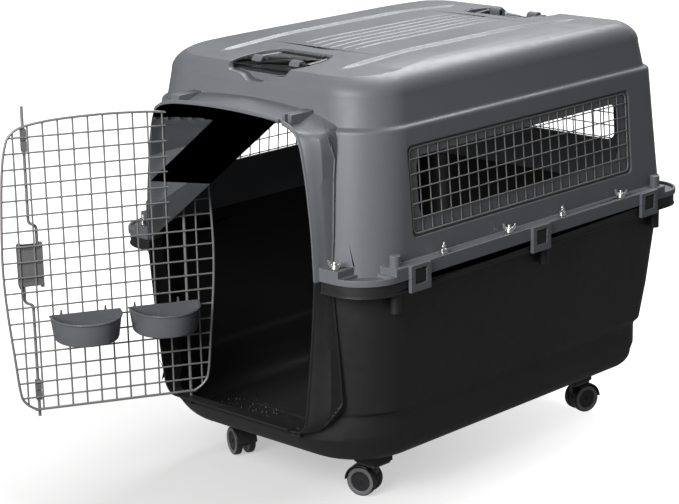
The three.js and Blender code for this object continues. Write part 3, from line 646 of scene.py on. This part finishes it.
def at_tabs(near, far, half_width, z0, z1):
    """The same block at each of the six snap tabs; near and far are distances from the middle."""
    solids = []
    for side in (-1, 1):
        for k in (-1, 0, 1):
            x0, x1 = sorted((side * near, side * far))
            y = TAB_SPACING * k
            solids.append(box(x0, x1, y - half_width, y + half_width, SEAM + z0, SEAM + z1))
    return solids


def posts(z0, z1, places):
    """Oval bosses between the wall and the edge of the flange."""
    solids = []
    for side in (-1, 1):
        for y in places:
            turns = [i * math.pi / 12 for i in range(24)]
            oval = [(side * 279 + 8.5 * math.cos(t), y + 9 * math.sin(t)) for t in turns]
            solids.append(prism(oval, "Z", SEAM + z0, SEAM + z1))
    return merged(*solids)


def flange_plate(inset, z0, z1):
    reach = FLANGE_Y - inset
    return loft([ring(FLANGE_X - inset, reach, reach, 70 - inset, 52 - inset, z) for z in (z0, z1)])


def corner_notch(grow, z0, z1):
    """Block over each flange corner, used to drop the gutter."""
    solids = []
    for sx in (-1, 1):
        for sy in (-1, 1):
            x0, x1 = sorted((sx * (232 + grow), sx * 330))
            y0, y1 = sorted((sy * (348 + grow), sy * 450))
            solids.append(box(x0, x1, y0, y1, SEAM + z0, SEAM + z1))
    return merged(*solids)


def top_shell():
    obj = upper_body(0)
    flange = build("flange", flange_plate(0, 0.15, 22))
    carve(flange, corner_notch(0, 10.5, 60))
    gutter = build("gutter", flange_plate(4.5, 5.5, 30))
    boolean(gutter, "INTERSECT", corner_notch(5, 5.5, 30))
    add_object(flange, "DIFFERENCE", gutter)
    add_object(obj, "UNION", flange)
    join(obj, collar(), collar_bead(), rod_blocks(), posts(6, 40, (-336, 336)))
    join(obj, merged(*at_tabs(290, 298, 23.5, -21, 22)))
    add_object(obj, "DIFFERENCE", upper_body(WALL))
    carve(obj, doorway())
    for name in WINDOWS:
        line_inside(obj, window_tools(name)[0])
    for side in (-1, 1):
        x = side * GROOVE_X
        line_inside(obj, box(x - 17, x + 17, -300, 300, SEAM + 297, SEAM + 330))
    for end in (-1, 1):
        line_inside(obj, pocket(WALL, POCKET_FLOOR - WALL, 340, end))
        line_inside(obj, pocket_mouth(WALL, end))
        join(obj, pocket_well(WALL, 270, 290, end))
    for name in WINDOWS:
        carve(obj, *window_tools(name)[1:])
    for end in (-1, 1):
        carve(obj, pocket(0, POCKET_FLOOR, 340, end), pocket_mouth(0, end), pocket_well(0, 274, 296, end))
        for side in (-1, 1):
            join(obj, lug(side, end))
    z = SEAM + HANDLE_Z
    pins = [rod(4.4, (-72, end * HANDLE_Y, z), (72, end * HANDLE_Y, z)) for end in (-1, 1)]
    carve(obj, merged(*pins), rod_holes(), bolt_holes(), merged(*at_tabs(289, 300, 13, -9, 15)))
    carve(obj, groove(-GROOVE_X, 11, 5, 300), groove(GROOVE_X, 11, 5, 300))
    carve(obj, merged(*[groove((k - 2.5) * 22, 3.4, 1.9, 205 - 6 * abs(k - 2.5)) for k in range(6)]))
    feet = at_tabs(291.5, 300, 24, -22, 0.15)
    keep = build("keep", merged(box(-400, 400, -500, 500, SEAM + 0.15, SEAM + 400), *feet))
    add_object(obj, "INTERSECT", keep)
    soften(obj, 1.1, 3)
    return place(obj, "carrier", "shell_upper", GREY, "top_shell")


def line_inside(obj, solid):
    """Adds wall behind a recess, kept inside the outer body."""
    pad = build("pad", solid)
    add_object(pad, "INTERSECT", upper_body(0))
    add_object(obj, "UNION", pad)


def caster_sockets():
    spots = [(x, y) for x in (-CASTER_X, CASTER_X) for y in (-CASTER_Y, CASTER_Y)]
    return merged(*[rod(3.8, (x, y, -60), (x, y, SEAM + POST_Z + 16), 20) for x, y in spots])


def floor_grips():
    """Small moulded grip bumps on the cabin floor near the doorway."""
    dice = random.Random(7)
    solids = []
    for side in (-1, 1):
        for _ in range(70):
            x = side * dice.uniform(60, 185)
            y = dice.uniform(-318, -235)
            size = dice.uniform(1.4, 3.2)
            top = SEAM - 311 + dice.random()
            solids.append(frustum(size, size * 0.45, (x, y, SEAM - 313.5), (x, y, top), 8))
    return merged(*solids)


def bottom_shell():
    obj = build("bottom_shell_skin", loft(lower_rings(0)))
    join(obj, flange_plate(3, -17, -0.15), flange_plate(1.5, -19.6, -17))
    join(obj, collar(), collar_bead(), rod_blocks(), posts(-52, -5, (-336, 28, 336)))
    blocks = [box(x - 22.5, x + 22.5, y - 22.5, y + 22.5, SEAM + POST_Z, SEAM - 312)
              for x in (-CASTER_X, CASTER_X) for y in (-CASTER_Y, CASTER_Y)]
    join(obj, merged(*blocks), box(-110, 110, -200, 200, 0, 6))
    carve(obj, loft(lower_rings(WALL)), doorway(), rod_holes())
    carve(obj, box(-400, 400, -500, 500, SEAM - 0.15, SEAM + 400))
    join(obj, *at_tabs(287, 296.3, 12.4, -8.6, -0.5), *at_tabs(293.4, 296.3, 12.4, -5, 13.4))
    carve(obj, bolt_holes(), bolt_seats(), caster_sockets())
    join(obj, box(-150, 150, -250, 250, SEAM - 315, SEAM - 311.5))
    soften(obj, 1.1, 3)
    place(obj, "carrier", "shell_lower", BLACK, "bottom_shell")
    piece("cabin_floor_grips", floor_grips(), "carrier", "shell_lower", BLACK, width=0.3)


# ---------------------------------------------------------------- door
DOOR_RIGHT = [
    (0, 231), (60, 229.5), (100, 226), (131, 220), (148, 210), (157, 194), (165, 150), (171, 60),
    (173, -10), (170, -78), (163, -154), (157, -215), (150, -234), (132, -247),
]


def door_outline(steps):
    left = [(-x, z) for x, z in DOOR_RIGHT[1:]][::-1]
    loop = (DOOR_RIGHT + [(110, -247.6), (-110, -247.6)] + left)[::-1]
    return smoothed(loop, steps)


def crossings(outline, index, value):
    """Where a closed outline crosses a line across it."""
    found = []
    for a, b in zip(outline, outline[1:] + outline[:1]):
        if (a[index] - value) * (b[index] - value) < 0:
            t = (value - a[index]) / (b[index] - a[index])
            found.append(a[1 - index] + t * (b[1 - index] - a[1 - index]))
    return min(found), max(found)


def door_wires():
    outline = door_outline(8)
    solids = [tube([(x, HINGE_Y + 5, SEAM + z) for x, z in outline], 2.05, 16, closed=True)]
    for k in range(13):
        if k == 1:
            continue
        x = HINGE_X - 19.4 + PITCH_S * k
        low, high = crossings(outline, 0, x)
        solids.append(rod(1.5, (x, HINGE_Y + 1.75, SEAM + low - 1), (x, HINGE_Y + 1.75, SEAM + high + 1), 12))
    for k in range(18):
        z = -227 + PITCH_Z * k
        low, high = crossings(outline, 1, z)
        y = HINGE_Y + 4.2
        solids.append(rod(1.5, (low, y, SEAM + z), (high, y, SEAM + z), 12))
    return merged(*solids)


def latch_rods():
    x, y = HINGE_X + LATCH_S, LATCH_Y
    inner, outer = HINGE_X + 241, HINGE_X + 266
    upper = rounded([(x, y, SEAM + 252), (x, y, SEAM + 63), (inner, y, SEAM + 57), (inner, y, SEAM + 15)], 5)
    lower = rounded([(x, y, SEAM - 262), (x, y, SEAM - 74), (outer, y, SEAM - 68), (outer, y, SEAM - 29)], 5)
    return tube(upper, 2.5, 16), tube(lower, 2.5, 16)


def housing():
    x, y = HINGE_X, HINGE_Y
    low, high = SEAM - 41, SEAM + 27
    obj = build("latch_housing_skin", box(x + 233, x + 274, y - 14, y + 0.3, low, high))
    carve(obj, box(x + 237.4, x + 269.6, y - 11.7, y - 1.3, low - 1, high + 1))
    carve(obj, box(x + 242.5, x + 263.5, y - 16, y - 11, low - 1, high + 1))
    ears = []
    for s in (236, 271):
        ears.append(box(x + s - 2.6, x + s + 2.6, y - 8, y + 0.2, high - 1, high + 3.4))
        ears.append(box(x + s - 2.6, x + s + 2.6, y - 8, y + 0.2, low - 3.4, low + 1))
    join(obj, merged(*ears))
    carve(obj, merged(*[box(x + 239, x + 268, y - 0.2, y + 1, SEAM + z, SEAM + z + 1.4) for z in (-34, 19)]))
    transform_mm(obj, DOOR_TURN)
    soften(obj, 0.7, 2)
    place(obj, "door", "latch_plastic", LATCH, "latch_housing")


def transform_mm(obj, matrix):
    scale = Matrix.Scale(MM, 4)
    obj.data.transform(scale @ matrix @ scale.inverted())


def grip(upper):
    x, y = HINGE_X, HINGE_Y
    z = SEAM + (11 if upper else -39)
    name = "upper" if upper else "lower"
    far = 268.2 if upper else 269.2
    obj = build(f"latch_grip_{name}_skin", box(x + 237.8, x + far, y - 11.3, y - 1.7, z, z + 14))
    tab_z = z + 4 if upper else z
    join(obj, box(x + 243.5, x + 262.5, y - 20, y - 11, tab_z, tab_z + 10))
    lines = [tab_z + 1.6 + 2.6 * k for k in range(3)]
    carve(obj, merged(*[box(x + 243, x + 263, y - 20.5, y - 19.3, low, low + 1.1) for low in lines]))
    rod_x = x + (241 if upper else 266)
    inside, end = (14.5, 30) if upper else (-28.5, -60)
    carve(obj, rod(2.8, (rod_x, LATCH_Y, SEAM + inside), (rod_x, LATCH_Y, SEAM + end)))
    transform_mm(obj, DOOR_TURN)
    soften(obj, 0.6, 2)
    place(obj, f"latch_{name}", "latch_plastic", LATCH_EDGE, f"latch_grip_{name}")


def spring():
    x, y = HINGE_X + 253, HINGE_Y - 6.5
    path = []
    for i in range(4 * 24 + 1):
        t = 2 * math.pi * i / 24
        path.append((x + 3.4 * math.cos(t), y + 3.4 * math.sin(t), SEAM - 24 + 34 * i / 96))
    return tube(path, 0.5, 8)


def guide(upper):
    x, y = HINGE_X, HINGE_Y
    z0, z1 = (SEAM + 180, SEAM + 216) if upper else (SEAM - 233, SEAM - 200)
    name = "upper" if upper else "lower"
    obj = build(f"rod_guide_{name}_skin", box(x + 248.5, x + 257.5, y - 8.9, y + 2.5, z0, z1))
    carve(obj, rod(2.8, (x + LATCH_S, LATCH_Y, z0 - 1), (x + LATCH_S, LATCH_Y, z1 + 1)))
    carve(obj, box(x + 247, x + 259, y - 4, y + 3, (z0 + z1) / 2 - 0.8, (z0 + z1) / 2 + 0.8))
    transform_mm(obj, DOOR_TURN)
    soften(obj, 0.7, 2)
    place(obj, "door", "latch_plastic", LATCH, f"rod_guide_{name}")


def bowl(name, centre, hook_places):
    top, back = SEAM - 91, HINGE_Y + 5.8

    def section(half_width, depth, z, inset):
        points = []
        for i in range(41):
            t = math.pi * i / 40
            x = math.cos(t) * (half_width - inset)
            y = math.sin(t) ** 0.8 * (depth - 2 * inset)
            points.append((HINGE_X + centre + x, back + inset + y, z))
        return points

    outside = [(49, 63, -41, 0), (51.4, 66.6, -40.2, 0), (52.6, 68.6, -37.5, 0), (55.2, 73.5, -18, 0),
               (57.2, 76.8, -3.6, 0), (58.4, 78.4, -3, 0), (59, 79, -1.6, 0), (58.8, 78.8, -0.4, 0),
               (57.8, 78, 0, 0)]
    inside = [(50.6, 65.4, -38.6, 2.6), (52.4, 68.4, -36, 2.4), (55.2, 73.5, -18, 2.2), (57.4, 77, 0.5, 2.2),
              (57.6, 77.4, 3, 1.8)]
    obj = build(name + "_skin", loft([section(a, b, top + z, i) for a, b, z, i in outside]))
    carve(obj, loft([section(a, b, top + z, i) for a, b, z, i in inside]))
    hooks = []
    for s in hook_places:
        x = HINGE_X + s
        hooks.append(box(x - 3, x + 3, HINGE_Y + 0.4, back + 2, top - 7.5, top - 3))
        hooks.append(box(x - 3, x + 3, HINGE_Y + 0.4, HINGE_Y + 2.5, top - 17, top - 3.2))
        tongue = [(x - 2.6, top - 3), (x + 2.6, top - 3), (x + 1.2, top + 8), (x - 1.2, top + 8)]
        hooks.append(prism(tongue, "Y", HINGE_Y + 5.9, HINGE_Y + 7.5))
    for hook in hooks:
        join(obj, hook)
    transform_mm(obj, DOOR_TURN)
    soften(obj, 0.35, 2)
    return obj


# ---------------------------------------------------------------- windows, handles, fasteners, casters
def window_wires(name):
    half, pitches = window_half(name), WINDOWS[name][2]
    frame_path = [(-3.6, a, b) for a, b in rounded_rect(half, -WINDOW_HALF_Z, WINDOW_HALF_Z, 9, 6)]
    solids = [tube(frame_path, 1.6, 12, closed=True)]
    for k in range(1, pitches):
        y = WINDOW_PITCH * k - half
        solids.append(rod(1.1, (-4.6, y, -WINDOW_HALF_Z), (-4.6, y, WINDOW_HALF_Z), 10))
    for k in range(1, 6):
        z = -WINDOW_HALF_Z + WINDOW_PITCH_Z * k
        solids.append(rod(1.1, (-2.4, -half, z), (-2.4, half, z), 10))
    return moved(merged(*solids), window_matrix(name))


def handle(end):
    z, grip_y, pivot_y = SEAM + HANDLE_Z, end * GRIP_Y, end * HANDLE_Y
    name = "front" if end < 0 else "rear"
    loop = rounded([(-61, pivot_y, z), (-52, grip_y, z), (52, grip_y, z), (61, pivot_y, z)], 9, 8)
    obj = build(f"handle_{name}_skin", tube(loop, 5.2, 18))
    join(obj, rod(7.6, (-46, grip_y, z), (46, grip_y, z), 32))
    for side in (-1, 1):
        join(obj, rod(5.6, (side * 54, pivot_y, z), (side * 67, pivot_y, z)))
        join(obj, rod(4.0, (side * 34, pivot_y, z), (side * 60, pivot_y, z)))
    rib = [(6.8, -1), (8.1, -0.6), (8.1, 0.6), (6.8, 1)]
    for x in range(-40, 41, 8):
        join(obj, lathe(rib, (x, grip_y, z), (1, 0, 0)))
    soften(obj, 0.5, 2)
    place(obj, f"{name}_handle", "handle", HANDLE, f"handle_{name}")


def bolt_and_nut(place_name, x, y, turn):
    hexagon = [(x + 4.2 * math.cos(i * math.pi / 3), y + 4.2 * math.sin(i * math.pi / 3)) for i in range(6)]
    obj = build(f"bolt_{place_name}_skin", prism(hexagon, "Z", SEAM - 19.2, SEAM - 17.0))
    join(obj, rod(3.0, (x, y, SEAM - 18), (x, y, SEAM + 35.2), 24))
    threads = []
    for k in range(9):
        low = SEAM + 23.5 + 1.25 * k
        threads.append(lathe([(2.6, 0), (3.15, 0.5), (2.6, 1.0)], (x, y, low), (0, 0, 1), 20))
    join(obj, merged(*threads))
    soften(obj, 0.35, 2)
    place(obj, "carrier", "zinc", ZINC, f"bolt_{place_name}")
    z = SEAM + 22.3
    nut = build(f"wing_nut_{place_name}_skin", lathe(
        [(6.0, 0), (6.5, 0.6), (6.4, 2.2), (5.6, 5.5), (5.0, 7.4), (4.5, 8)], (0, 0, 0), (0, 0, 1), 32))
    wing = smoothed([(3.2, 0.8), (6.0, 2.6), (8.6, 5.6), (10.4, 9.4), (10.9, 12.6), (9.8, 14.9),
                     (7.9, 14.4), (7.0, 11.6), (5.6, 8.6), (3.2, 7.2)], 4)
    for flip in (0, math.pi):
        blade = prism(wing, "Y", -1.25, 1.25)
        join(nut, moved(blade, Matrix.Rotation(flip, 4, "Z")))
    carve(nut, rod(3.6, (0, 0, -1), (0, 0, 12), 24))
    transform_mm(nut, Matrix.Translation((x, y, z)) @ Matrix.Rotation(math.radians(turn + 90), 4, "Z"))
    soften(nut, 0.5, 3)
    place(nut, "carrier", "zinc", ZINC, f"wing_nut_{place_name}")


CASTERS = {
    "front_right": (CASTER_X, -CASTER_Y, 197), "front_left": (-CASTER_X, -CASTER_Y, -22),
    "rear_right": (CASTER_X, CASTER_Y, 74), "rear_left": (-CASTER_X, CASTER_Y, 95),
}


def caster(name, x, y, heading):
    placed = Matrix.Translation((x, y, 0))
    swung = placed @ Matrix.Rotation(math.radians(heading), 4, "Z")
    top = SEAM + POST_Z - 0.3
    plate_obj = build(f"caster_plate_{name}_skin", prism(rounded_rect(21, -21, 21, 5), "Z", top - 3, top))
    carve(plate_obj, rod(3.8, (0, 0, top - 5), (0, 0, top + 2)))
    transform_mm(plate_obj, placed)
    soften(plate_obj, 0.5, 2)
    place(plate_obj, "carrier", "caster_steel", STEEL, f"caster_plate_{name}")
    hood_top, axle = SEAM + POST_Z - 4, SEAM + AXLE_Z
    web = [(-7.5, hood_top), (-7.5, hood_top - 16), (2, axle - 5), (9, axle - 10), (23, axle - 10),
           (30, axle), (32, axle + 10), (25, hood_top - 2.5), (16, hood_top)]
    hood = build(f"caster_hood_{name}_skin", prism(web, "Y", -5.8, 5.8))
    arch = [(27.5, -19), (28.5, -18), (28.5, 18), (27.5, 19)]
    fender = build("fender", lathe(arch, (TRAIL, 0, axle), (0, 1, 0), 72))
    carve(fender, rod(25.8, (TRAIL, -22, axle), (TRAIL, 22, axle), 72))
    carve(fender, box(-60, 80, -30, 30, axle - 40, axle + 1))
    carve(fender, box(-60, TRAIL - 14, -30, 30, axle - 40, axle + 40))
    add_object(hood, "UNION", fender)
    join(hood, rod(2.4, (TRAIL, -18.4, axle), (TRAIL, 18.4, axle)))
    join(hood, rod(3.5, (0, 0, hood_top - 12), (0, 0, hood_top + 18)))
    transform_mm(hood, swung)
    soften(hood, 0.6, 2)
    place(hood, f"caster_{name}", "caster_body", CASTER, f"caster_hood_{name}")
    for letter, side in (("a", 1), ("b", -1)):
        profile = [(3, 6.2), (22.5, 6.2), (24.4, 7.0), (25, 8.6), (25, 15.2), (24.4, 16.8), (23, 17.8),
                   (18.2, 18.2), (17.2, 17.6), (16.8, 16.6), (14.5, 16.2), (6, 16.6), (5.2, 17.2), (3, 17.2)]
        tyre = lathe(profile, (TRAIL, 0, axle), (0, side, 0), 64)
        wheel = build(f"caster_wheel_{name}_{letter}_skin", tyre)
        carve(wheel, rod(2.7, (TRAIL, -30, axle), (TRAIL, 30, axle)))
        transform_mm(wheel, swung)
        soften(wheel, 0.0)
        place(wheel, f"wheel_{name}_{letter}", "caster_wheel", WHEEL, f"caster_wheel_{name}_{letter}")
        wheel.data.materials.append(CASTER)
        hub = swung @ Vector((TRAIL, 0, axle))
        axis = (swung.to_3x3() @ Vector((0, 1, 0))).normalized()
        for face in wheel.data.polygons:
            arm = Vector(face.center) / MM - hub
            out = abs(arm.dot(axis))
            radius = (arm - axis * arm.dot(axis)).length
            if radius < 16.9 and out > 15 or radius > 23.2:
                face.material_index = 1


def build_all():
    top_shell()
    bottom_shell()
    piece("door_wires", door_wires(), "door", "wire", WIRE, "door_grid", matrix=DOOR_TURN)
    hinge = rod(2.5, (HINGE_X, HINGE_Y, SEAM - 263), (HINGE_X, HINGE_Y, SEAM + 245), 20)
    piece("hinge_rod_skin", hinge, "door", "wire", WIRE, "hinge_rod", width=0.5, matrix=DOOR_TURN)
    upper, lower = latch_rods()
    piece("latch_rod_upper_skin", upper, "latch_upper", "wire", WIRE, "latch_rod_upper", matrix=DOOR_TURN)
    piece("latch_rod_lower_skin", lower, "latch_lower", "wire", WIRE, "latch_rod_lower", matrix=DOOR_TURN)
    housing()
    for upper_one in (True, False):
        grip(upper_one)
        guide(upper_one)
    coil = piece("latch_spring_skin", spring(), "door", "zinc", ZINC, "latch_spring", matrix=DOOR_TURN)
    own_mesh(coil)
    place(bowl("bowl_left", 172, (137.9, 210.5)), "left_bowl", "bowl", BOWL, "bowl_left")
    place(bowl("bowl_right", 42, (16.9, 89.5)), "right_bowl", "bowl", BOWL, "bowl_right")
    for name in WINDOWS:
        piece(f"window_wires_{name}", window_wires(name), "carrier", "wire", WIRE, f"window_mesh_{name}")
    handle(-1)
    handle(1)
    for spot in bolt_places():
        bolt_and_nut(*spot)
    for name, spot in CASTERS.items():
        caster(name, *spot)


build_all()


# ---------------------------------------------------------------- floor, light and camera
def floor_with_painted_shadow():
    """Pale floor that glows more with distance from a point under the carrier's front left: the dim glow near
    the carrier is a painted soft shadow, and the far floor is as white as a paper sweep.
    """
    mat = surface("floor_painted_shadow", (0.36, 0.36, 0.358), 0.75, spec=0.1, bump=0.0, vary=0.01)
    nodes, links = mat.node_tree.nodes, mat.node_tree.links
    shader = nodes["Principled BSDF"]
    where = nodes.new("ShaderNodeTexCoord")
    away = nodes.new("ShaderNodeVectorMath")
    away.operation = "DISTANCE"
    away.inputs[1].default_value = (-0.25, -0.35, (SEAM + GROUND_Z) * MM)
    links.new(where.outputs["Object"], away.inputs[0])
    # painted shadow: the floor's glow is weakest near the carrier's front left and grows with distance from
    # it
    painted_shadow_glow = nodes.new("ShaderNodeMapRange")
    painted_shadow_glow.inputs["From Min"].default_value = 0.3
    painted_shadow_glow.inputs["From Max"].default_value = 1.0
    painted_shadow_glow.inputs["To Min"].default_value = 0.44
    painted_shadow_glow.inputs["To Max"].default_value = 1.1
    links.new(away.outputs["Value"], painted_shadow_glow.inputs["Value"])
    links.new(painted_shadow_glow.outputs["Result"], shader.inputs["Emission Strength"])
    shader.inputs["Emission Color"].default_value = (1.0, 1.0, 1.0, 1)
    return mat


def studio():
    size, ground = 40000, SEAM + GROUND_Z
    corners = [(-size, -size, ground), (size, -size, ground), (size, size, ground), (-size, size, ground)]
    floor = build("floor", (corners, [(0, 1, 2, 3)]))
    floor.data.materials.append(floor_with_painted_shadow())
    floor.visible_diffuse = False
    floor.visible_glossy = False
    world = bpy.data.worlds.new("studio")
    world.use_nodes = True
    world.node_tree.nodes["Background"].inputs["Color"].default_value = (1.0, 1.0, 1.0, 1)
    world.node_tree.nodes["Background"].inputs["Strength"].default_value = 0.2
    bpy.context.scene.world = world
    for name, spot, target, width, power in (
        ("key", (0.55, -2.4, 1.4), (0, 0, 0.35), 1.3, 84),
        ("top", (-0.45, 1.7, 3.0), (0, 0, 0.4), 2.0, 160),
    ):
        light = bpy.data.lights.new(name, "AREA")
        light.shape = "SQUARE"
        light.size = width
        light.energy = power
        obj = bpy.data.objects.new(name, light)
        obj.location = spot
        obj.rotation_euler = (Vector(target) - Vector(spot)).to_track_quat("-Z", "Y").to_euler()
        bpy.context.scene.collection.objects.link(obj)


def camera():
    azimuth, elevation, roll = math.radians(43.913), math.radians(15.23), math.radians(-1.33)
    flat = math.cos(elevation)
    back = Vector((math.sin(azimuth) * flat, -math.cos(azimuth) * flat, math.sin(elevation)))
    level = Vector((math.cos(azimuth), math.sin(azimuth), 0))
    upright = (-back).cross(level) * -1
    right = math.cos(roll) * level + math.sin(roll) * upright
    up = -math.sin(roll) * level + math.cos(roll) * upright
    data = bpy.data.cameras.new("camera")
    data.sensor_width = SENSOR
    data.lens = LENS
    obj = bpy.data.objects.new("camera", data)
    bpy.context.scene.collection.objects.link(obj)
    place_it = Matrix((right, up, back)).transposed().to_4x4()
    place_it.translation = Vector((2.4515, -2.7143, 0.9242 + SEAM * MM))
    obj.matrix_world = place_it
    bpy.context.scene.camera = obj


studio()
camera()
bpy.context.scene.view_settings.view_transform = "Standard"
